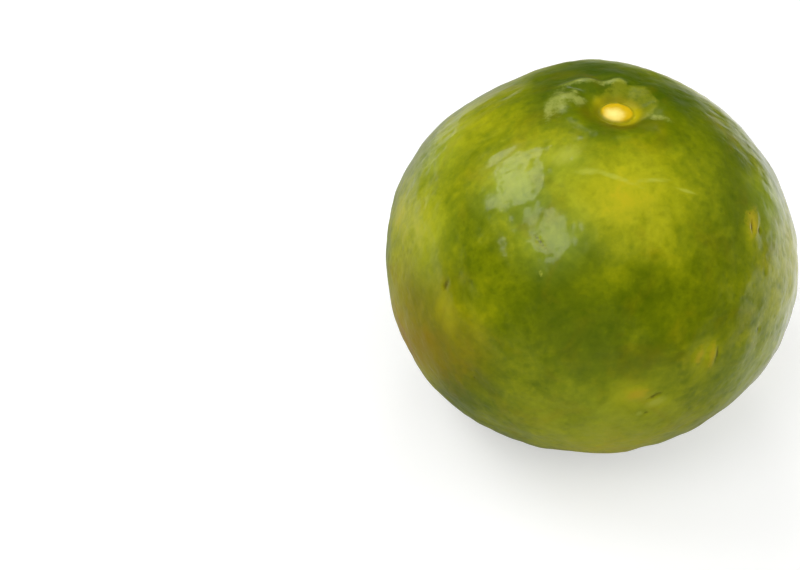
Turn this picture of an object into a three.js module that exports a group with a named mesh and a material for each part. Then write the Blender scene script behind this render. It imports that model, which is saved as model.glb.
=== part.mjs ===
// A whole green mandarin, standing on its blossom end with the stem end up.
// Millimetres, +Z up. The origin is on the flat spot that it rests on, under the middle of its width.
// The fruit is one solid: a squat body of revolution, swollen and flattened by gentle lumps,
// with a pleated hollow and a round stem scar on top and a small flat spot underneath.

import * as THREE from "three";

// Body, before the lumps: half its width and half its height
const BODY_RADIUS = 31;
const BODY_HALF_HEIGHT = 28.8;
// How far the widest level sinks below mid-height, and how full the sides are (shares of the radius)
const SAG = 0.04;
const FULLNESS = 0.015;
// How much the two ends are flattened (share of the half height)
const FLATTENING = 0.03;

// Flat spot on the blossom end
const REST_RADIUS = 8;

// Hollow around the stem, and the low collar of peel that rings it
const HOLLOW_RADIUS = 4.8;
const HOLLOW_DEPTH = 1.9;
const COLLAR_RADIUS = 7.2;
const COLLAR_WIDTH = 2.4;
const COLLAR_HEIGHT = 0.35;

// Pleats that run outwards from the hollow over the shoulder
const PLEAT_COUNT = 9;
const PLEAT_DEPTH = 0.16;
const PLEAT_RADIUS = 7.5;
const PLEAT_REACH = 3.5;

// Scar left where the stalk came away: a low dome
const SCAR_RADIUS = 2.5;
const SCAR_HEIGHT = 0.7;

// Lumps of the peel: where each one is centred (degrees round from +X, and up from the waist),
// how far it stands out (negative where the peel is flattened), and how wide it spreads
const LUMP_SPREAD = 23;
const LUMPS = [
  { around: 93, up: 44, height: 1.0 },
  { around: 119, up: 40, height: -0.3 },
  { around: 157, up: 20, height: 1.0 },
  { around: 181, up: -1, height: 0.45 },
  { around: 213, up: -28, height: 0.7 },
  { around: 240, up: 35, height: 0.3 },
  { around: 265, up: 20, height: -0.3 },
  { around: 314, up: -35, height: -0.6 },
  { around: 349, up: -10, height: 0.3 },
  { around: 16, up: 15, height: -0.3 },
  { around: 60, up: -20, height: 0.4 },
  { around: 120, up: -25, height: -0.4 },
];

// Fineness of the mesh
const MERIDIANS = 90;
const SHOULDER_RINGS = 14;
const SIDE_RINGS = 20;
const SHOULDER_ANGLE = THREE.MathUtils.degToRad(32);
const CROWDING = 1.5; // above 1, the shoulder's rings lie closer together towards the stem

// Exactness, in radians and in millimetres
const ANGLE_TOLERANCE = 1e-9;
const HEIGHT_TOLERANCE = 1e-3;

// Half width of the plain body at a given angle from the stem.
function bodyRadius(angle) {
  const shape = Math.sin(angle) - SAG * Math.sin(2 * angle) - FULLNESS * Math.sin(3 * angle);
  return BODY_RADIUS * shape;
}

// Height of the plain body above its middle at that angle.
function bodyHeight(angle) {
  return BODY_HALF_HEIGHT * (Math.cos(angle) - FLATTENING * Math.cos(3 * angle));
}

// Bell curve: 1 at the middle, falling to 1/e one width away.
function bell(x, middle, width) {
  return Math.exp(-(((x - middle) / width) ** 2));
}

// Height added at a distance from the stem's axis: the hollow, its collar and the scar's dome.
function stemRelief(distance) {
  const hollow = -HOLLOW_DEPTH * bell(distance, 0, HOLLOW_RADIUS);
  const collar = COLLAR_HEIGHT * bell(distance, COLLAR_RADIUS, COLLAR_WIDTH);
  const inside = Math.max(0, 1 - (distance / SCAR_RADIUS) ** 2);
  return hollow + collar + SCAR_HEIGHT * Math.sqrt(inside);
}

// Angle from the stem at which the body's lower end is as wide as the flat spot.
function restAngle() {
  let low = Math.PI / 2;
  let high = Math.PI;
  while (high - low > ANGLE_TOLERANCE) {
    const middle = (low + high) / 2;
    if (bodyRadius(middle) > REST_RADIUS) low = middle;
    else high = middle;
  }
  return high;
}

// Half outline of the fruit, from the middle of the flat spot up to the middle of the scar.
function outline() {
  const lowest = restAngle();
  const restHeight = bodyHeight(lowest);
  const points = [new THREE.Vector2(0, restHeight)];
  for (let ring = SIDE_RINGS; ring > 0; ring--) {
    const angle = SHOULDER_ANGLE + ((lowest - SHOULDER_ANGLE) * ring) / SIDE_RINGS;
    points.push(new THREE.Vector2(bodyRadius(angle), bodyHeight(angle)));
  }
  for (let ring = SHOULDER_RINGS; ring >= 0; ring--) {
    const angle = SHOULDER_ANGLE * (ring / SHOULDER_RINGS) ** CROWDING;
    const distance = bodyRadius(angle);
    const height = bodyHeight(angle) + stemRelief(distance);
    points.push(new THREE.Vector2(ring === 0 ? 0 : distance, height));
  }
  return { points, restHeight };
}

// Unit direction of a lump's centre.
function lumpDirection({ around, up }) {
  const turn = THREE.MathUtils.degToRad(around);
  const lift = THREE.MathUtils.degToRad(up);
  const level = Math.cos(lift);
  return new THREE.Vector3(level * Math.cos(turn), level * Math.sin(turn), Math.sin(lift));
}

// How far the lumps together push the peel out in a direction.
function lumpHeight(direction) {
  const spread = THREE.MathUtils.degToRad(LUMP_SPREAD);
  let height = 0;
  for (const lump of LUMPS) {
    height += lump.height * bell(direction.angleTo(lumpDirection(lump)), 0, spread);
  }
  return height;
}

// Height of the pleats at a point of the shoulder.
function pleatHeight(point) {
  const distance = Math.hypot(point.x, point.y);
  const turn = Math.atan2(point.y, point.x);
  return PLEAT_DEPTH * Math.cos(PLEAT_COUNT * turn) * bell(distance, PLEAT_RADIUS, PLEAT_REACH);
}

// The round body with its lumps and pleats, resting on Z = 0 and centred over the origin.
function fruitGeometry() {
  const { points, restHeight } = outline();
  const geometry = new THREE.LatheGeometry(points, MERIDIANS);
  geometry.rotateX(Math.PI / 2);
  const position = geometry.getAttribute("position");
  const point = new THREE.Vector3();
  const direction = new THREE.Vector3();
  for (let i = 0; i < position.count; i++) {
    point.fromBufferAttribute(position, i);
    const onFlatSpot = point.z < restHeight + HEIGHT_TOLERANCE;
    direction.copy(point).normalize();
    if (point.z > 0) point.z += pleatHeight(point);
    point.addScaledVector(direction, lumpHeight(direction));
    if (onFlatSpot) point.z = restHeight;
    position.setXYZ(i, point.x, point.y, point.z);
  }
  geometry.computeBoundingBox();
  const middle = geometry.boundingBox.getCenter(new THREE.Vector3());
  geometry.translate(-middle.x, -middle.y, -geometry.boundingBox.min.z);
  geometry.computeVertexNormals();
  return geometry;
}

const peel = new THREE.MeshStandardMaterial({ color: 0x8b971c, roughness: 0.42, metalness: 0 });

const mandarin = new THREE.Mesh(fruitGeometry(), peel);
mandarin.name = "mandarin";

const part = new THREE.Group();
part.name = "green_mandarin";
part.add(mandarin);

export default part;
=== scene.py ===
# A whole green mandarin: one closed peel with its oil glands, stem scar and blemishes.
# Shapes are worked out in millimetres, about a point on the fruit's own axis, and put into
# the mesh in metres.

import math

import bpy
import numpy as np
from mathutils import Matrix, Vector


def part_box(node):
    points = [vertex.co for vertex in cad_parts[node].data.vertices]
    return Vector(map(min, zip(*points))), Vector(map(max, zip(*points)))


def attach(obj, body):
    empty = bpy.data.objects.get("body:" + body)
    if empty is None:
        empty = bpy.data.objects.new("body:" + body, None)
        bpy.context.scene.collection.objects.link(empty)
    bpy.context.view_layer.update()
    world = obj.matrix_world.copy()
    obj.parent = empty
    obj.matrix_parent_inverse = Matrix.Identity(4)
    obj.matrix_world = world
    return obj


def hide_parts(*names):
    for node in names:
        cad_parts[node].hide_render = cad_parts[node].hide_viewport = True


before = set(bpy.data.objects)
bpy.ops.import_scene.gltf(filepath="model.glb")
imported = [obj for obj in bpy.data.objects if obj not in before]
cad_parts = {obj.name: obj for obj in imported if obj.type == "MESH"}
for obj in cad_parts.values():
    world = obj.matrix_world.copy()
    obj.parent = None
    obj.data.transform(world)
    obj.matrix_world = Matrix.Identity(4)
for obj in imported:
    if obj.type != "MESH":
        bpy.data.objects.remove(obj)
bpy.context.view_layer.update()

MM = 0.001

# ---------------------------------------------------------------- body of the fruit, in millimetres

BODY_RADIUS = 31.0
BODY_HALF_HEIGHT = 28.8
SAG = 0.04
FULLNESS = 0.015
FLATTENING = 0.03
REST_RADIUS = 8.0
REST_ROUNDING = 0.12

HOLLOW_RADIUS = 4.8
HOLLOW_DEPTH = 1.9
COLLAR_RADIUS = 7.2
COLLAR_WIDTH = 2.4
COLLAR_HEIGHT = 0.35

PLEAT_COUNT = 9
PLEAT_DEPTH = 0.16
PLEAT_RADIUS = 7.5
PLEAT_REACH = 3.5

SCAR_RADIUS = 2.3
SCAR_HEIGHT = 0.75
FURROW_DEPTH = 0.22

# The scar sits a little off the fruit's axis, to the right and back, and a painted highlight, its
# palest colour, lies to the left and front of its middle
STEM_SHIFT = (0.75, 0.95)
SCAR_HIGHLIGHT_SHIFT = (0.5, 0.75)

# The skin under the old button, paler and a little raised, with an edge that wavers, spreads out
# from the scar further on some sides: degrees round, how much further, half width in degrees
PRINT_REACH = 3.1
PRINT_WAVER = 0.12
PRINT_SPREAD = (
    (14, 3.0, 26),
    (52, 3.4, 24),
    (88, 2.4, 20),
    (128, 1.6, 16),
    (330, 0.7, 18),
    (222, 0.5, 14),
)
# The streaks that fan out from the scar: wavelength round a circle of radius 1, and seed
FAN_WAVES = (0.42, 9)

# The dimple of the blossom end, and the small point in the middle of it
DIMPLE_DEPTH = 0.45
DIMPLE_RADIUS = 1.1
POINT_HEIGHT = 0.1
POINT_RADIUS = 0.35

# Lumps: degrees round from +X, degrees up from the waist, height of the lump
LUMP_SPREAD = 23.0
LUMPS = (
    (93, 44, 1.0),
    (119, 40, -0.3),
    (157, 20, 1.0),
    (181, -1, 0.45),
    (213, -28, 0.7),
    (240, 35, 0.3),
    (265, 20, -0.3),
    (314, -35, -0.6),
    (349, -10, 0.3),
    (16, 15, -0.3),
    (60, -20, 0.4),
    (120, -25, -0.4),
)

# ---------------------------------------------------------------- fine relief of the peel

FACE_POINTS = 129
STEM_CROWDING = 0.6
GLAND_SPACING = 1.5
GLAND_DEPTH = 0.05
SMALL_GLAND_SPACING = 0.95
SMALL_GLAND_DEPTH = 0.022

# Swell of the peel, calmer round the stem, and the finer ripple on it: wavelength, height, seed
SWELLS = (
    (9.0, 0.055, 3),
    (4.6, 0.035, 5),
)
RIPPLE = (2.3, 0.015, 7)
STEM_CALM = 0.7
STEM_CALM_RADIUS = 8.0

# How far the button's print, its streaks and the corky marks stand up, and how deep the others lie
PRINT_RISE = 0.13
STREAK_RISE = 0.025
CORKY_RISE = 0.10
PALE_DIP = 0.05
DARK_DIP = 0.22

# Crescents round the scar, golden ones of the peel's own colour and shaded ones of painted shade:
# distance from its middle, half width, degrees round, half width in degrees, weight
GOLDEN_CRESCENTS = (
    (SCAR_RADIUS + 0.45, 0.65, 345, 75, 1.0),
    (3.2, 0.8, 136, 20, 0.55),
)
# Painted shade below the scar and to its left
SHADED_CRESCENTS = (
    (3.9, 0.8, 268, 50, 1.0),
    (4.6, 1.0, 190, 26, 0.8),
)
# The dull ring of wax round the stem, and the glossy part of it at the back, in degrees
DULL_RING_RADIUS = 11.0
DULL_RING_FADE = 4.0
GLOSSY_BACK = (100, 48)

# Marks on the peel: degrees round, degrees up, length, width, turn of the long way from level
CORKY_MARKS = (
    (324, 39, 5.6, 2.8, 32),
    (275, 5, 4.2, 2.4, 14),
    (295, 12.5, 4.4, 1.2, 80),
    (291, 13.5, 3.2, 1.6, 70),
    (153, 35, 1.8, 1.1, 148),
    (48, 28, 3.4, 1.5, 60),
    (118, -12, 4.4, 1.6, 20),
    (12, -38, 2.8, 1.4, 110),
    (200, -48, 3.0, 1.2, 35),
)
PALE_MARKS = (
    (280, 1.5, 3.2, 1.5, 22),
    (276, -2, 1.1, 1.0, 26),
    (264, 64.8, 7.4, 0.8, 161),
    (247, 65.2, 3.6, 1.1, 20),
    # This one is a painted highlight in front of the stem
    (228, 67.5, 4.6, 2.6, 70),
    (287, 63, 4.6, 0.7, 168),
    (303, 57, 3.0, 0.6, 140),
    (243, 35, 1.1, 0.5, 124),
    (75, 12, 5.5, 0.45, 25),
    (140, 8, 1.3, 0.7, 80),
)
DARK_MARKS = (
    (216, 19, 2.0, 1.1, 81),
    (239, 42.5, 3.4, 0.5, 152),
    (322.5, 38.5, 2.2, 0.6, 45),
    (325, 36, 1.0, 0.7, 10),
    (326, 42, 1.4, 0.4, 60),
    (296.5, 12, 3.0, 0.5, 80),
    (279.5, 3.6, 2.6, 0.6, 26),
    (254, 12, 0.6, 0.4, 10),
    (232, -2, 0.8, 0.5, 150),
    (264, -8, 0.6, 0.4, 90),
    (312, 12, 1.4, 0.4, 70),
    (278, -2, 0.7, 0.6, 20),
    (90, -8, 0.9, 0.7, 0),
    (30, 5, 0.8, 0.6, 40),
)
GOLDEN_MARKS = (
    (217, 13, 5.0, 2.0, 93),
    (221, 11, 6.8, 2.8, 115),
    (204, -10, 12.0, 4.4, 146),
    (273, 5, 8.0, 4.6, 10),
    (293, 13, 6.4, 4.2, 75),
    (324, 39, 7.0, 3.6, 32),
    (110, -2, 6.0, 2.6, 70),
    (22, -18, 7.0, 3.0, 120),
)
# Folds and lobes of peel pulled up round the stem, as marks with a height; all are pale, and two are
# painted glints
STEM_LOBES_AND_GLINTS = (
    (152, 75.5, 4.2, 2.4, 150, 0.12),
    (160, 74, 5.6, 2.6, 10, 0.10),
    (172, 71.5, 4.6, 1.5, 175, 0.06),
    (148, 79, 2.2, 1.8, 0, 0.10),
    (136, 76, 1.6, 1.0, 60, 0.08),
    # Two thin arcs on the ridges behind the stem, painted pale as glints
    (82, 75.5, 4.4, 1.0, 13, 0.05),
    (121, 73.5, 5.6, 1.0, 150, 0.05),
    (352, 77, 3.6, 1.2, 70, 0.08),
)
STEM_RIDGES = (
    (83, 75.5, 5.0, 2.3, 13, 0.34),
    (120, 73.5, 6.0, 2.1, 150, 0.30),
)
# Where a mark has no more say, in shares of its half size
FAR = 9.0


def bell(x, middle, width):
    """Bell curve exp(-((x - middle) / width)^2)."""
    return np.exp(-(((x - middle) / width) ** 2))


def ramp(x, low, high):
    """Smooth step: 3s^2 - 2s^3 with s = (x - low) / (high - low), held between 0 and 1."""
    s = np.clip((x - low) / (high - low), 0.0, 1.0)
    return s * s * (3.0 - 2.0 * s)


def heading(around, up):
    """Unit vector at an angle round from +X and an angle up from level, in degrees."""
    turn, lift = math.radians(around), math.radians(up)
    level = math.cos(lift)
    return np.array((level * math.cos(turn), level * math.sin(turn), math.sin(lift)))


def waves(points, wavelength, seed, count=40):
    """Random swell of one wavelength: the sum of cos(2 pi d.p / wavelength + phase) over unit
    directions d and phases drawn from the seed, divided by the square root of half their number."""
    draw = np.random.default_rng(seed)
    d = draw.normal(size=(count, 3))
    d /= np.linalg.norm(d, axis=1, keepdims=True)
    phase = draw.uniform(0.0, 2.0 * math.pi, count)
    crests = np.cos(points @ d.T * (2.0 * math.pi / wavelength) + phase)
    return crests.sum(axis=1) / math.sqrt(count / 2.0)


def scatter(cell, salt):
    """A number from 0 to 1 for each whole-numbered cell: its three indices are multiplied by large
    odd numbers, mixed by exclusive or and shifts, and the lowest 24 bits are kept."""
    c = cell.astype(np.int64)
    h = c[:, 0] * 73856093 ^ c[:, 1] * 19349663 ^ c[:, 2] * 83492791 ^ salt * 2654435761
    h = (h ^ (h >> 13)) * 1274126177
    h = (h ^ (h >> 16)) & 0xFFFFFF
    return h / float(0xFFFFFF)


def glands(points, spacing, salt):
    """Pits of the oil glands: each cube of side `spacing` holds one centre at a random place, and
    a point at a distance d from the nearest centre, with its random radius r, gets (1 - (d/r)^2)^2."""
    base = np.floor(points / spacing)
    nearest = np.full(len(points), 1e9)
    radius = np.ones(len(points))
    steps = [(i, j, k) for i in (-1, 0, 1) for j in (-1, 0, 1) for k in (-1, 0, 1)]
    for step in steps:
        cell = base + np.array(step)
        place = [cell[:, a] + 0.15 + 0.7 * scatter(cell, salt + a) for a in range(3)]
        centre = np.stack(place, axis=1)
        away = np.linalg.norm(points - centre * spacing, axis=1)
        closer = away < nearest
        nearest = np.where(closer, away, nearest)
        radius = np.where(closer, spacing * (0.34 + 0.2 * scatter(cell, salt + 3)), radius)
    return np.clip(1.0 - (nearest / radius) ** 2, 0.0, 1.0) ** 2


# ---------------------------------------------------------------- the peel as one closed surface

# Each face of the cube: the axes along u and v, and the one that points out of the face
FACES = (
    ((0, 1, 0), (0, 0, 1), (1, 0, 0)),
    ((0, 0, 1), (0, 1, 0), (-1, 0, 0)),
    ((0, 0, 1), (1, 0, 0), (0, 1, 0)),
    ((1, 0, 0), (0, 0, 1), (0, -1, 0)),
    ((1, 0, 0), (0, 1, 0), (0, 0, 1)),
    ((0, 1, 0), (1, 0, 0), (0, 0, -1)),
)


def face_directions(along, across, out):
    """Unit directions over one face of a cube swollen to a ball: tan(u pi/4) along one edge,
    tan(v pi/4) along the other and 1 outwards, for u and v from -1 to 1. On the top and bottom
    faces u and v are first drawn to the middle by 1 - c (1 - u^2)(1 - v^2)."""
    side = np.linspace(-1.0, 1.0, FACE_POINTS)
    u, v = np.meshgrid(side, side, indexing="ij")
    if out[2] != 0:
        draw = 1.0 - STEM_CROWDING * (1.0 - u**2) * (1.0 - v**2)
        u, v = u * draw, v * draw
    d = (
        np.tan(u * math.pi / 4)[..., None] * np.array(along, float)
        + np.tan(v * math.pi / 4)[..., None] * np.array(across, float)
        + np.array(out, float)
    )
    return (d / np.linalg.norm(d, axis=-1, keepdims=True)).reshape(-1, 3)


def closed_grid():
    """Directions of all six faces with the shared edges joined, those that agree to a millionth
    being one, and the four-sided faces between them."""
    every = np.concatenate([face_directions(*face) for face in FACES])
    rounded = np.round(every * 1e6)
    _, first, joined = np.unique(rounded, axis=0, return_index=True, return_inverse=True)
    joined = joined.reshape(-1)
    i, j = np.meshgrid(np.arange(FACE_POINTS - 1), np.arange(FACE_POINTS - 1), indexing="ij")
    corner = (i * FACE_POINTS + j).reshape(-1)
    one = np.stack([corner, corner + FACE_POINTS, corner + FACE_POINTS + 1, corner + 1], axis=1)
    quads = np.concatenate([one + n * FACE_POINTS**2 for n in range(len(FACES))])
    return every[first], joined[quads]


def body_radius(angle):
    """Half width of the plain body at an angle from the stem: R (sin a - s sin 2a - f sin 3a)."""
    return BODY_RADIUS * (np.sin(angle) - SAG * np.sin(2 * angle) - FULLNESS * np.sin(3 * angle))


def body_height(angle):
    """Height of the plain body at that angle: H (cos a - e cos 3a)."""
    return BODY_HALF_HEIGHT * (np.cos(angle) - FLATTENING * np.cos(3 * angle))


def rest_height():
    """Height at which the lower end is as wide as the flat spot, found on a fine run of angles."""
    angle = np.linspace(math.pi / 2, math.pi, 200001)
    return float(body_height(np.interp(-REST_RADIUS, -body_radius(angle), angle)))


def stem_relief(distance, turn):
    """Height added around the stem, the sum of a bell-shaped hollow, a bell-shaped collar, the
    scar's dome as sqrt(1 - (distance / radius)^2), a bell-shaped furrow round it, and pleats
    cos(n turn) under a bell over the shoulder, which 0.65 + 0.35 sin(turn) makes deeper behind."""
    hollow = -HOLLOW_DEPTH * bell(distance, 0.0, HOLLOW_RADIUS)
    collar = COLLAR_HEIGHT * bell(distance, COLLAR_RADIUS, COLLAR_WIDTH)
    dome = SCAR_HEIGHT * np.sqrt(np.clip(1.0 - (distance / SCAR_RADIUS) ** 2, 0.0, 1.0))
    furrow = -FURROW_DEPTH * bell(distance, SCAR_RADIUS + 0.35, 0.4)
    pleats = PLEAT_DEPTH * np.cos(PLEAT_COUNT * turn) * bell(distance, PLEAT_RADIUS, PLEAT_REACH)
    pleats *= 0.65 + 0.35 * np.sin(turn)
    return hollow + collar + dome + furrow + pleats


def round_bell(turn, middle, width):
    """Bell curve of an angle, taken the short way round: exp(-((turn - middle) / width)^2)."""
    apart = np.angle(np.exp(1j * (turn - math.radians(middle))))
    return bell(apart, 0.0, math.radians(width))


def fan(turn):
    """Streaks that fan out from the scar: a random swell that changes with the angle round it
    only, taken from the waves along a circle of radius 1."""
    ring = np.stack([np.cos(turn), np.sin(turn), np.zeros_like(turn)], axis=1)
    return waves(ring, *FAN_WAVES)


def crescents(distance, turn, bands):
    """Soft crescents round the scar, the strongest where they meet: each is its weight times a
    bell of the distance times a bell of the angle."""
    each = [
        weight * bell(distance, out, width) * round_bell(turn, around, reach)
        for out, width, around, reach, weight in bands
    ]
    return np.max(each, axis=0)


def print_edge(turn):
    """Distance from the stem's axis to the edge of the button's print: a plain reach plus a bell
    at each angle where it spreads, plus a share of the fan."""
    spread = [far * round_bell(turn, around, width) for around, far, width in PRINT_SPREAD]
    return PRINT_REACH + np.sum(spread, axis=0) + PRINT_WAVER * fan(turn)


def from_mark(points, around, up, length, width, turn):
    """Distance from a mark in shares of its own half size: the root of (2x / length)^2 +
    (2y / width)^2, with x and y along and across the mark, and FAR on the fruit's other side."""
    out = heading(around, up)
    level = np.cross((0.0, 0.0, 1.0), out)
    level /= np.linalg.norm(level)
    rise = np.cross(out, level)
    c, s = math.cos(math.radians(turn)), math.sin(math.radians(turn))
    x, y = points @ (level * c + rise * s), points @ (rise * c - level * s)
    near = np.hypot(2.0 * x / length, 2.0 * y / width)
    return np.where(points @ out > 0, np.minimum(near, FAR), FAR)


def from_nearest(points, marks):
    """Distance from the nearest of several marks, in shares of its half size."""
    return np.min([from_mark(points, *mark[:5]) for mark in marks], axis=0)


def peel_surface():
    """The whole peel. Each direction of the closed grid gets its point on the body of revolution
    with the stem end. The point moves outwards by the sum of the lumps, each a bell of the angle
    from its middle, and then by the fine relief: swell, gland pits, print and marks. Below, its
    height h over the flat spot becomes (h + sqrt(h^2 + r^2)) / 2, with the dimple as two bells.
    Returns the points, the faces and the fields that the material reads."""
    directions, quads = closed_grid()
    angle = np.arccos(np.clip(directions[:, 2], -1.0, 1.0))
    turn = np.arctan2(directions[:, 1], directions[:, 0])
    distance = body_radius(angle)
    top = angle < math.pi / 2
    aside = distance * np.cos(turn) - STEM_SHIFT[0]
    back = distance * np.sin(turn) - STEM_SHIFT[1]
    off_stem, bearing = np.hypot(aside, back), np.arctan2(back, aside)
    height = body_height(angle) + np.where(top, stem_relief(off_stem, bearing), 0.0)
    plain = np.stack([distance * np.cos(turn), distance * np.sin(turn), height], axis=1)
    out = plain / np.linalg.norm(plain, axis=1, keepdims=True)

    swollen = plain.copy()
    for around, up, lump in LUMPS:
        apart = np.arccos(np.clip(out @ heading(around, up), -1.0, 1.0))
        swollen += out * (lump * bell(apart, 0.0, math.radians(LUMP_SPREAD)))[:, None]

    scar = ramp(-off_stem, -SCAR_RADIUS - 0.1, -SCAR_RADIUS + 0.3) * top
    button = ramp(print_edge(bearing) - off_stem, -0.6, 0.6) * top
    pits = glands(swollen, GLAND_SPACING, 11) * (1.0 - scar)
    small_pits = glands(swollen, SMALL_GLAND_SPACING, 47) * (1.0 - scar)
    corky = from_nearest(swollen, CORKY_MARKS)
    pale = from_nearest(swollen, PALE_MARKS)
    dark = from_nearest(swollen, DARK_MARKS)
    golden = from_nearest(swollen, GOLDEN_MARKS)
    lobes_and_glints = from_nearest(swollen, STEM_LOBES_AND_GLINTS)
    rim = crescents(off_stem, bearing, GOLDEN_CRESCENTS) * top
    shade = crescents(off_stem, bearing, SHADED_CRESCENTS) * top
    dull_ring = ramp(DULL_RING_RADIUS - off_stem, 0.0, DULL_RING_FADE) * top
    dull_ring = dull_ring * (1.0 - round_bell(bearing, *GLOSSY_BACK))
    glandless = np.maximum(ramp(1.2 - corky, 0.0, 0.5), ramp(6.0 - off_stem, 0.0, 2.0) * top)

    relief = sum(tall * waves(swollen, length, seed) for length, tall, seed in SWELLS)
    relief *= 1.0 - STEM_CALM * bell(off_stem, 0.0, STEM_CALM_RADIUS) * top
    length, tall, seed = RIPPLE
    relief += tall * waves(swollen, length, seed)
    relief -= (GLAND_DEPTH * pits + SMALL_GLAND_DEPTH * small_pits) * (1.0 - 0.85 * glandless)
    streaks = fan(bearing)
    relief += (PRINT_RISE + STREAK_RISE * streaks) * button * (1.0 - scar)
    for *mark, tall in STEM_LOBES_AND_GLINTS + STEM_RIDGES:
        relief += tall * ramp(1.35 - from_mark(swollen, *mark), 0.0, 1.1) * (1.0 - scar)
    relief += CORKY_RISE * ramp(1.15 - corky, 0.0, 0.5) - PALE_DIP * ramp(1.1 - pale, 0.0, 0.7)
    relief -= DARK_DIP * ramp(1.2 - dark, 0.0, 0.8)
    shaped = swollen + out * relief[:, None]

    under = angle > math.pi * 0.75
    from_axis = np.hypot(shaped[:, 0], shaped[:, 1])
    lowest = rest_height()
    above = shaped[:, 2] - lowest
    rounded = 0.5 * (above + np.hypot(above, REST_ROUNDING))
    shaped[:, 2] = np.where(under, lowest + rounded, shaped[:, 2])
    dimple = DIMPLE_DEPTH * bell(from_axis, 0.0, DIMPLE_RADIUS)
    dimple -= POINT_HEIGHT * bell(from_axis, 0.0, POINT_RADIUS)
    shaped[:, 2] += under * dimple
    # The scar is palest round a point to its left and front: a painted highlight
    off_scar_highlight = np.hypot(aside + SCAR_HIGHLIGHT_SHIFT[0], back + SCAR_HIGHLIGHT_SHIFT[1])
    fields = {
        "scar": scar,
        "dome": np.minimum(off_scar_highlight / SCAR_RADIUS, 2.0),
        "gloss": 1.0 - np.clip(dull_ring + button, 0.0, 1.0),
        "shade": shade,
        # Painted shade in the furrow round the scar
        "furrow": bell(off_stem, SCAR_RADIUS + 0.5, 0.8) * top,
        "rim": rim,
        "button": button * (1.0 + 0.12 * streaks),
        "lobes_and_glints": lobes_and_glints,
        "glands": np.maximum(pits, 0.6 * small_pits),
        "corky": corky,
        "pale": pale,
        "dark": dark,
        "golden": golden,
    }
    return shaped, quads, fields


def fill_box(points, low, high):
    """Points moved and scaled by a hair to just fill the box: along each axis,
    low + (p - least) (high - low) / (most - least)."""
    least, most = points.min(axis=0), points.max(axis=0)
    return low + (points - least) * (high - low) / (most - least)


def mesh_object(name, points, faces, fields=None, smooth=True):
    """One object at the origin from arrays of points and faces, with fields as point attributes."""
    mesh = bpy.data.meshes.new(name)
    sides = faces.shape[1]
    mesh.vertices.add(len(points))
    mesh.vertices.foreach_set("co", points.astype(np.float32).ravel())
    mesh.loops.add(faces.size)
    mesh.loops.foreach_set("vertex_index", faces.astype(np.int32).ravel())
    mesh.polygons.add(len(faces))
    mesh.polygons.foreach_set("loop_start", np.arange(0, faces.size, sides, dtype=np.int32))
    mesh.update(calc_edges=True)
    mesh.validate()
    if smooth:
        mesh.shade_smooth()
    for field, values in (fields or {}).items():
        layer = mesh.attributes.new(field, "FLOAT", "POINT")
        layer.data.foreach_set("value", values.astype(np.float32))
    made = bpy.data.objects.new(name, mesh)
    bpy.context.scene.collection.objects.link(made)
    return made


# ---------------------------------------------------------------- materials


def put(tree, kind, inputs=None, **settings):
    """Adds a node of that kind, sets its properties, and gives its inputs their values or links."""
    node = tree.nodes.new("ShaderNode" + kind)
    for name, value in settings.items():
        setattr(node, name, value)
    for name, value in (inputs or {}).items():
        socket = node.inputs[name]
        if isinstance(value, bpy.types.NodeSocket):
            tree.links.new(value, socket)
        else:
            socket.default_value = value
    return node


def calc(tree, operation, *terms, clamp=False):
    """A Math node's result."""
    node = put(tree, "Math", dict(enumerate(terms)), operation=operation, use_clamp=clamp)
    return node.outputs[0]


def blend(tree, amount, under, over):
    """Colour `over` laid on colour `under` by an amount from 0 to 1."""
    node = put(tree, "Mix", {0: amount, 6: under, 7: over}, data_type="RGBA")
    return node.outputs[2]


def remap(tree, value, low, high, to_low=0.0, to_high=1.0):
    """A value smoothly carried from one span to another."""
    inputs = {0: value, 1: low, 2: high, 3: to_low, 4: to_high}
    return put(tree, "MapRange", inputs, interpolation_type="SMOOTHSTEP").outputs[0]


def field_value(tree, name):
    """A point attribute of the mesh."""
    return put(tree, "Attribute", attribute_name=name).outputs["Fac"]


def grain(tree, place, scale, detail=3.0, roughness=0.5, distortion=0.0):
    """Noise from 0 to 1; scale is in features per millimetre."""
    inputs = {"Vector": place, "Scale": scale, "Detail": detail, "Roughness": roughness}
    inputs["Distortion"] = distortion
    return put(tree, "TexNoise", inputs).outputs["Fac"]


def patches(tree, place, spots):
    """Broad soft areas: the sum, over the centres, of each weight times 1 - a smooth step of the
    distance from the centre over its reach."""
    total = None
    for around, up, reach, weight in spots:
        centre = tuple(heading(around, up) * BODY_HALF_HEIGHT)
        away = put(tree, "VectorMath", {0: place, 1: centre}, operation="DISTANCE").outputs["Value"]
        spot = remap(tree, away, 0.0, reach, weight, 0.0)
        total = spot if total is None else calc(tree, "ADD", total, spot)
    return total


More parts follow.
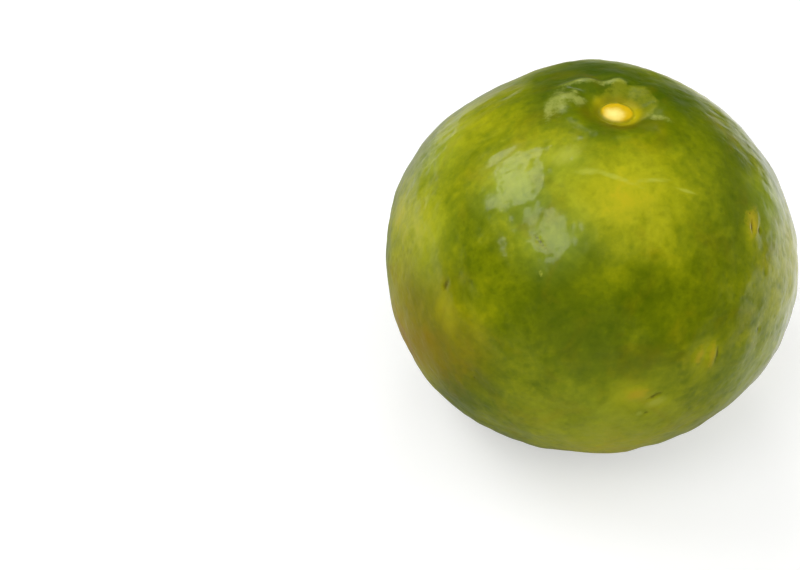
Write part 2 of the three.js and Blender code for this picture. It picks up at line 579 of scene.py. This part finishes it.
# Broad areas of the peel: degrees round, degrees up, reach in millimetres, weight
BRIGHT_AREAS = (
    (290, 62, 17.0, 0.20),
    (258, 55, 14.0, 0.12),
    (215, 52, 13.0, 0.10),
    (160, 44, 12.0, 0.14),
    (198, 30, 14.0, 0.10),
    (275, -18, 19.0, 0.28),
    (210, 66, 9.0, 0.10),
    (334, 16, 14.0, 0.16),
    (250, 0, 12.0, 0.06),
    (262, 33, 5.5, 0.12),
    (199, 24, 5.0, 0.12),
    (265, -30, 17.0, 0.12),
    (308, -6, 11.0, 0.14),
    (340, 34, 7.0, 0.08),
    (284, 12, 5.0, 0.14),
    (164, 38, 7.0, 0.10),
    (100, 30, 16.0, 0.14),
    (40, 38, 12.0, 0.10),
    (0, -50, 16.0, 0.16),
    (130, -60, 18.0, 0.16),
)
DEEP_AREAS = (
    (268, 25, 17.0, 0.11),
    (248, 28, 12.0, 0.10),
    (228, 49, 4.5, 0.20),
    (212, 44, 4.0, 0.10),
    (254, 43, 5.0, 0.14),
    (245, 34, 4.5, 0.12),
    (277, 38, 5.0, 0.14),
    (277, 14, 6.0, 0.12),
    (224, 25, 5.0, 0.12),
    (212, 37, 7.0, 0.12),
    (307, 47, 11.0, 0.12),
    (297, 22, 12.0, 0.06),
    (335, 62, 10.0, 0.03),
    (334, 40, 10.0, 0.12),
    (32, 72, 11.0, 0.28),
    (100, 68, 12.0, 0.30),
    (178, 57, 6.0, 0.03),
    (183, 72, 6.0, 0.18),
    (238, 81, 4.5, 0.20),
    (343, 56, 7.0, 0.18),
    (224, -14, 7.0, 0.24),
    (150, 72, 9.0, 0.12),
    (290, 82, 8.0, 0.16),
    (320, 68, 8.0, 0.09),
    (232, -8, 9.0, 0.12),
    (70, 10, 15.0, 0.14),
    (145, 2, 14.0, 0.12),
    (10, 15, 14.0, 0.12),
)
RIPE_AREAS = (
    (219, 6, 11.0, 0.08),
    (200, -14, 14.0, 0.50),
    (188, 14, 13.0, 0.20),
    (274, 5, 6.0, 0.10),
    (293, 12, 5.0, 0.16),
    (120, 8, 12.0, 0.14),
    (30, -30, 14.0, 0.20),
)
# Areas with a brown blush, and pale green areas of painted sheen
BRONZE_AREAS = (
    (212, 2, 15.0, 0.50),
    (214, -6, 8.0, 0.40),
    (200, -16, 15.0, 0.55),
    (228, 3, 9.0, 0.30),
    (28, -26, 13.0, 0.40),
    (120, 4, 10.0, 0.25),
)
# The painted sheen is mostly pale haze round the highlights, one painted highlight in front of the
# stem,
# painted bounce light underneath and painted reflections of the floor along the left and right edges
PAINTED_SHEEN_AREAS = (
    (214, 52, 9.0, 0.80),
    (242, 45, 8.0, 0.80),
    (232, 66, 5.5, 0.60),
    (200, 24, 9.0, 0.50),
    (180, 34, 8.0, 0.50),
    (163, 38, 7.0, 0.50),
    (208, 15, 5.5, 0.70),
    (338, 36, 8.0, 0.65),
    (268, -8, 20.0, 0.50),
    (307, -2, 10.0, 0.60),
    (322, 4, 8.0, 0.40),
    (75, 45, 10.0, 0.50),
)
# Areas where the wax is worn dull; a negative weight is an area that is polished
DULL_AREAS = (
    (205, 2, 20.0, 0.9),
    (190, -2, 16.0, 0.5),
    (270, 10, 20.0, 0.4),
    (92, 52, 20.0, 0.9),
    (45, 60, 13.0, 0.7),
    (345, -4, 18.0, -0.6),
    (324, -8, 14.0, -0.8),
)
# Heights above the fruit's middle between which the wax goes from dull to glossy, in millimetres
POLISH_SPAN = (-4.0, 17.0)

# Noise in the peel: features per millimetre, detail, roughness, distortion, share in the ripeness
NOISES = {
    "broad": (0.055, 2.0, 0.5, 0.6, 0.30),
    "mottle": (0.17, 4.0, 0.6, 0.6, 0.44),
    "blotch": (0.42, 3.0, 0.6, 0.4, 0.22),
    "speckle": (0.9, 3.0, 0.6, 0.0, 0.20),
    "fine": (2.6, 2.0, 0.6, 0.0, 0.07),
}
WARM_NOISE = (0.13, 4.0, 0.6, 1.0)

# How ripe the plain peel is, how much riper a golden mark is, and how much greener a gland
RIPENESS = 0.40
GOLDEN_GAIN = 0.16
GLAND_LOSS = 0.08

# Colour of the peel by its ripeness, from green to orange
PEEL_COLOURS = (
    (0.00, (0.040, 0.082, 0.0)),
    (0.30, (0.118, 0.160, 0.0)),
    (0.50, (0.255, 0.290, 0.0)),
    (0.70, (0.455, 0.445, 0.006)),
    (0.85, (0.520, 0.390, 0.004)),
    (1.00, (0.520, 0.250, 0.002)),
)
PAINTED_SHEEN_COLOUR = (0.33, 0.43, 0.035, 1.0)
BRONZE_COLOUR = (0.27, 0.185, 0.0, 1.0)
# The scar's pale middle, partly its own colour and partly a painted highlight
PALE_WOOD_AND_HIGHLIGHT = (1.0, 0.84, 0.24, 1.0)
WOOD_DEEP = (0.66, 0.44, 0.005, 1.0)
# Marks over the peel, the lowest first: the field each follows, how ragged its edge is, the span
# of the field over which it fades, its strength at the two ends of the span, and its colour
MARK_COLOURS = (
    # Pale lobes round the stem, two of them thin painted glints
    ("lobes_and_glints", 1.6, (0.1, 1.4), (0.56, 0.0), (0.42, 0.46, 0.10, 1.0)),
    ("button", -1.3, (0.2, 1.3), (0.0, 0.52), (0.31, 0.32, 0.012, 1.0)),
    ("corky", 1.0, (0.1, 1.2), (0.62, 0.0), (0.50, 0.37, 0.014, 1.0)),
    ("pale", 0.6, (0.2, 1.4), (0.50, 0.0), (0.49, 0.51, 0.06, 1.0)),
    ("dark", 0.6, (0.2, 1.2), (0.68, 0.0), (0.060, 0.042, 0.002, 1.0)),
)
# Round the scar, over the marks: painted shade in the furrow and below the scar, and the golden rim;
# the field each follows, its strength and its colour
PAINTED_SHADE_AND_RIM = (
    ("furrow", 0.55, (0.20, 0.17, 0.002, 1.0)),
    ("shade", 0.7, (0.115, 0.090, 0.0, 1.0)),
    ("rim", 0.8, (0.52, 0.44, 0.002, 1.0)),
)

PEEL_ROUGHNESS = 0.35
CORKY_ROUGHNESS = 0.25
PEEL_SPECULAR = 0.10
PEEL_COAT = 0.45
DULL_COAT = 0.06
PEEL_COAT_ROUGHNESS = 0.11
# The pores, finer than the glands: how many to a millimetre, and how deep in millimetres
PORES_PER_MM = 1.15
PORE_DEPTH = 0.02


def peel_material(middle):
    """Waxy citrus peel: green mottled towards gold, darker in its glands, with its scar and marks, and
    with painted sheen, highlights and shade.
    """
    material = bpy.data.materials.new("mandarin_peel")
    material.use_nodes = True
    tree = material.node_tree
    tree.nodes.clear()
    here = put(tree, "TexCoord").outputs["Object"]
    shift = tuple(-Vector(middle) / MM)
    place = put(tree, "Mapping", {"Vector": here, "Location": shift, "Scale": (1 / MM,) * 3})
    place = place.outputs["Vector"]

    noise = {name: grain(tree, place, *row[:4]) for name, row in NOISES.items()}
    mottle = noise["mottle"]
    speckle = noise["speckle"]
    fine = noise["fine"]

    # How ripe the peel is at each place
    ripeness = calc(tree, "ADD", RIPENESS, patches(tree, place, BRIGHT_AREAS))
    ripeness = calc(tree, "SUBTRACT", ripeness, patches(tree, place, DEEP_AREAS))
    ripeness = calc(tree, "ADD", ripeness, patches(tree, place, RIPE_AREAS))
    for name, row in NOISES.items():
        share = row[4]
        change = calc(tree, "MULTIPLY_ADD", noise[name], share, -share / 2)
        ripeness = calc(tree, "ADD", ripeness, change)
    ragged = calc(tree, "MULTIPLY_ADD", speckle, 1.5, -0.75)
    ragged = calc(tree, "MULTIPLY_ADD", fine, 0.8, calc(tree, "ADD", ragged, -0.4))
    golden = calc(tree, "ADD", field_value(tree, "golden"), ragged)
    golden = remap(tree, golden, 0.0, 1.6, 1.0, 0.0)
    ripeness = calc(tree, "MULTIPLY_ADD", golden, GOLDEN_GAIN, ripeness)
    ripeness = calc(tree, "MULTIPLY_ADD", field_value(tree, "glands"), -GLAND_LOSS, ripeness)

    # Its colour, with painted sheen, brown blush, marks, painted shade, rim and woody scar on it in
    # turn
    colours = put(tree, "ValToRGB", {"Fac": ripeness})
    colours.color_ramp.interpolation = "B_SPLINE"
    stops = colours.color_ramp.elements
    while len(stops) < len(PEEL_COLOURS):
        stops.new(0.5)
    for stop, (position, colour) in zip(stops, PEEL_COLOURS):
        stop.position = position
        stop.color = (*colour, 1.0)
    colour = colours.outputs["Color"]
    # Painted sheen: pale green haze, broken up by the mottle, where highlights and reflections fall
    painted_sheen = calc(tree, "MULTIPLY_ADD", mottle, 1.2, -0.1)
    painted_sheen = calc(tree, "MULTIPLY", painted_sheen, patches(tree, place, PAINTED_SHEEN_AREAS), clamp=True)
    colour = blend(tree, painted_sheen, colour, PAINTED_SHEEN_COLOUR)
    warm = remap(tree, grain(tree, place, *WARM_NOISE), 0.48, 0.72, 0.0, 0.22)
    bronze = calc(tree, "MULTIPLY_ADD", mottle, 1.0, 0.5)
    bronze = calc(tree, "MULTIPLY", bronze, patches(tree, place, BRONZE_AREAS))
    warm = calc(tree, "ADD", warm, bronze, clamp=True)
    colour = blend(tree, warm, colour, BRONZE_COLOUR)
    strength = {}
    for field, raggedness, span, ends, tone in MARK_COLOURS:
        edge = calc(tree, "MULTIPLY_ADD", ragged, raggedness, field_value(tree, field))
        strength[field] = remap(tree, edge, *span, *ends)
        colour = blend(tree, strength[field], colour, tone)
    # Painted shade in the furrow and below the scar, then the golden rim
    for field, most, tone in PAINTED_SHADE_AND_RIM:
        tint = calc(tree, "MULTIPLY", field_value(tree, field), most)
        colour = blend(tree, tint, colour, tone)
    # The scar goes from its pale middle, which holds a painted highlight, out to its deep golden edge
    to_rim = calc(tree, "MULTIPLY_ADD", speckle, 0.5, field_value(tree, "dome"))
    to_rim = remap(tree, to_rim, 0.3, 1.15)
    woody = blend(tree, to_rim, PALE_WOOD_AND_HIGHLIGHT, WOOD_DEEP)
    colour = blend(tree, field_value(tree, "scar"), colour, woody)

    # Its roughness and its wax, dull below and round the stem, and worn in small spots
    rough = calc(tree, "MULTIPLY_ADD", mottle, 0.16, PEEL_ROUGHNESS - 0.08)
    rough = calc(tree, "MULTIPLY_ADD", strength["corky"], CORKY_ROUGHNESS, rough)
    level = put(tree, "SeparateXYZ", {0: place}).outputs["Z"]
    polish = remap(tree, level, *POLISH_SPAN)
    polish = calc(tree, "SUBTRACT", polish, patches(tree, place, DULL_AREAS), clamp=True)
    polish = calc(tree, "MULTIPLY_ADD", mottle, 0.3, calc(tree, "ADD", polish, -0.15), clamp=True)
    coat = calc(tree, "MULTIPLY_ADD", polish, PEEL_COAT - DULL_COAT, DULL_COAT)
    near_stem = calc(tree, "MULTIPLY_ADD", field_value(tree, "gloss"), 0.95, 0.05)
    worn = calc(tree, "MULTIPLY_ADD", noise["blotch"], 0.5, speckle)
    worn = remap(tree, worn, 0.58, 0.72, 0.35, 1.0)
    coat = calc(tree, "MULTIPLY", coat, calc(tree, "MULTIPLY", near_stem, worn))

    # Its pores
    cells = {"Vector": place, "Scale": PORES_PER_MM, "Randomness": 1.0}
    pores = put(tree, "TexVoronoi", cells, feature="SMOOTH_F1")
    pore_depth = remap(tree, pores.outputs["Distance"], 0.0, 0.5, 0.0, 1.0)
    height = calc(tree, "MULTIPLY_ADD", fine, 0.15, pore_depth)
    bump = put(tree, "Bump", {"Height": height, "Strength": 1.0, "Distance": PORE_DEPTH * MM})

    shader = put(tree, "BsdfPrincipled", {
        "Base Color": colour,
        "Roughness": rough,
        "Normal": bump.outputs["Normal"],
        "Coat Weight": coat,
        "Coat Roughness": PEEL_COAT_ROUGHNESS,
        "Specular IOR Level": PEEL_SPECULAR,
        "IOR": 1.45,
    })
    output = put(tree, "OutputMaterial")
    tree.links.new(shader.outputs["BSDF"], output.inputs["Surface"])
    return material


# The floor: half its side in metres, its two tones, how bright it looks under the fruit and
# further off, where it meets the white of the room, and the distances over which that changes
FLOOR_HALF = 1.6
FLOOR_TONES = ((0.54, 0.54, 0.535, 1.0), (0.58, 0.58, 0.575, 1.0))
FLOOR_GLOW = 0.52
PAPER_WHITE = 0.90
GLOW_SPAN = (0.3, 1.3)

# The dark tone that the peel mirrors of it, over which distance that comes in, and how much of it
MIRRORED_TONE = (0.05, 0.05, 0.05, 1.0)
MIRRORED_SPAN = (0.05, 0.30)
MIRRORED_SHARE = (0.1, 0.8)

# Pools of light on the floor: the middle, how far out each is full and how far out it ends, in
# metres, and how bright it is
LIGHT_POOLS = (
    ((0.44, 0.17, 0.0), 0.28, 0.37, 0.85),
    ((0.10, 0.06, 0.0), 0.06, 0.13, 0.80),
    ((-0.36, 0.24, 0.0), 0.28, 0.37, 0.68),
)


def floor_material():
    """Pale matt floor with a faint cloudiness. It looks a little brighter than its light makes it,
    so that it is near white. Pools of light on it are mirrored at the left and right edges of the
    peel, and the rest of it is mirrored darker the further away it is."""
    material = bpy.data.materials.new("pale_floor")
    material.use_nodes = True
    tree = material.node_tree
    tree.nodes.clear()
    here = put(tree, "TexCoord").outputs["Object"]
    cloud = grain(tree, here, 6.0, 2.0)
    colour = blend(tree, cloud, *FLOOR_TONES)
    rays = put(tree, "LightPath").outputs
    seen = rays["Is Camera Ray"]
    away = put(tree, "VectorMath", {0: here}, operation="LENGTH").outputs["Value"]
    dimmed = remap(tree, away, *MIRRORED_SPAN, *MIRRORED_SHARE)
    dimmed = calc(tree, "MULTIPLY", rays["Is Glossy Ray"], dimmed)
    colour = blend(tree, dimmed, colour, MIRRORED_TONE)
    # The pools are painted light: the floor glows there for everything but the camera
    pools = 0.0
    for centre, full, end, glow in LIGHT_POOLS:
        off = put(tree, "VectorMath", {0: here, 1: centre}, operation="DISTANCE").outputs["Value"]
        pools = calc(tree, "ADD", pools, remap(tree, off, full, end, glow, 0.0))
    kept = calc(tree, "MULTIPLY", calc(tree, "SUBTRACT", 1.0, seen), pools)
    lifted = remap(tree, away, *GLOW_SPAN, FLOOR_GLOW, PAPER_WHITE)
    shader = put(tree, "BsdfPrincipled", {
        "Base Color": colour,
        "Roughness": 0.7,
        "Emission Color": (1.0, 1.0, 1.0, 1.0),
        "Emission Strength": calc(tree, "MULTIPLY_ADD", seen, lifted, kept),
    })
    output = put(tree, "OutputMaterial")
    tree.links.new(shader.outputs["BSDF"], output.inputs["Surface"])
    return material


# ---------------------------------------------------------------- the piece

low, high = (np.array(corner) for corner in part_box("mandarin"))
points, quads, fields = peel_surface()
least = points.min(axis=0)
points = fill_box(points * MM, low, high)
# The fruit's own axis and the level from which its shape is worked out, in the frame
middle = low - least * MM
peel = mesh_object("mandarin_peel", points, quads, fields)
peel.data.materials.append(peel_material(middle))
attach(peel, "root")
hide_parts("mandarin")

# ---------------------------------------------------------------- floor, light and camera

def floor_object():
    """A flat square under the fruit."""
    h = FLOOR_HALF
    corners = np.array([(-h, -h, 0.0), (h, -h, 0.0), (h, h, 0.0), (-h, h, 0.0)])
    return mesh_object("floor", corners, np.array([[0, 1, 2, 3]]), smooth=False)


floor = floor_object()
floor.data.materials.append(floor_material())


def softbox(name, around, up, away, width, depth, radiance, in_gloss):
    """A rectangular light of a given brightness, facing the fruit's middle."""
    lamp = bpy.data.lights.new(name, "AREA")
    lamp.shape = "RECTANGLE"
    lamp.size, lamp.size_y = width, depth
    lamp.energy = radiance * math.pi * width * depth
    placed = bpy.data.objects.new(name, lamp)
    toward = Vector(heading(around, up))
    placed.location = Vector(middle) + toward * away
    placed.rotation_euler = toward.to_track_quat("Z", "Y").to_euler()
    placed.visible_glossy = in_gloss
    bpy.context.scene.collection.objects.link(placed)
    return placed


# Each light: name, degrees round, degrees up, distance, width and depth in metres, brightness,
# and whether the peel mirrors it
SOFTBOXES = (
    ("left_window", 155, 47, 0.60, 0.33, 0.28, 4.3, True),
    ("front_window", 220, 55, 0.60, 0.27, 0.26, 3.8, True),
    ("back_window", 90, 47, 0.60, 0.15, 0.10, 8.0, True),
    ("ceiling", 270, 82, 1.0, 1.3, 1.3, 1.2, False),
    ("front_fill", 260, 4, 1.0, 1.0, 0.7, 1.6, False),
    ("right_fill", 8, 30, 0.9, 0.7, 0.7, 1.6, False),
)
for row in SOFTBOXES:
    softbox(*row)

ROOM_GREY = 0.05


def room_light():
    """A dim even room round the fruit, which looks like pale paper where the camera sees it."""
    world = bpy.data.worlds.new("room")
    bpy.context.scene.world = world
    world.use_nodes = True
    tree = world.node_tree
    tree.nodes.clear()
    dim = put(tree, "Background", {"Color": (1.0, 1.0, 1.0, 1.0), "Strength": ROOM_GREY})
    paper = put(tree, "Background", {"Color": (1.0, 1.0, 1.0, 1.0), "Strength": PAPER_WHITE})
    seen = put(tree, "LightPath").outputs["Is Camera Ray"]
    mixed = put(tree, "MixShader", {0: seen, 1: dim.outputs[0], 2: paper.outputs[0]})
    output = put(tree, "OutputWorld")
    tree.links.new(mixed.outputs[0], output.inputs["Surface"])


room_light()

VIEW_PITCH = math.radians(46.0)
# The fruit's middle from the camera: along the line of sight, to its right and above it
SIGHT_DEPTH = 0.1751
SIGHT_RIGHT = 0.0299
SIGHT_UP = 0.0055

camera_data = bpy.data.cameras.new("camera")
camera_data.lens = 50.0
camera_data.sensor_width = 36.0
camera_data.clip_start = 0.01
camera = bpy.data.objects.new("camera", camera_data)
forward = Vector((0.0, math.cos(VIEW_PITCH), -math.sin(VIEW_PITCH)))
right = Vector((1.0, 0.0, 0.0))
upward = right.cross(forward)
camera.location = Vector(middle) - SIGHT_DEPTH * forward - SIGHT_RIGHT * right - SIGHT_UP * upward
camera.rotation_euler = (-forward).to_track_quat("Z", "Y").to_euler()
bpy.context.scene.collection.objects.link(camera)
bpy.context.scene.camera = camera

bpy.context.scene.view_settings.view_transform = "Standard"
bpy.context.scene.view_settings.look = "None"
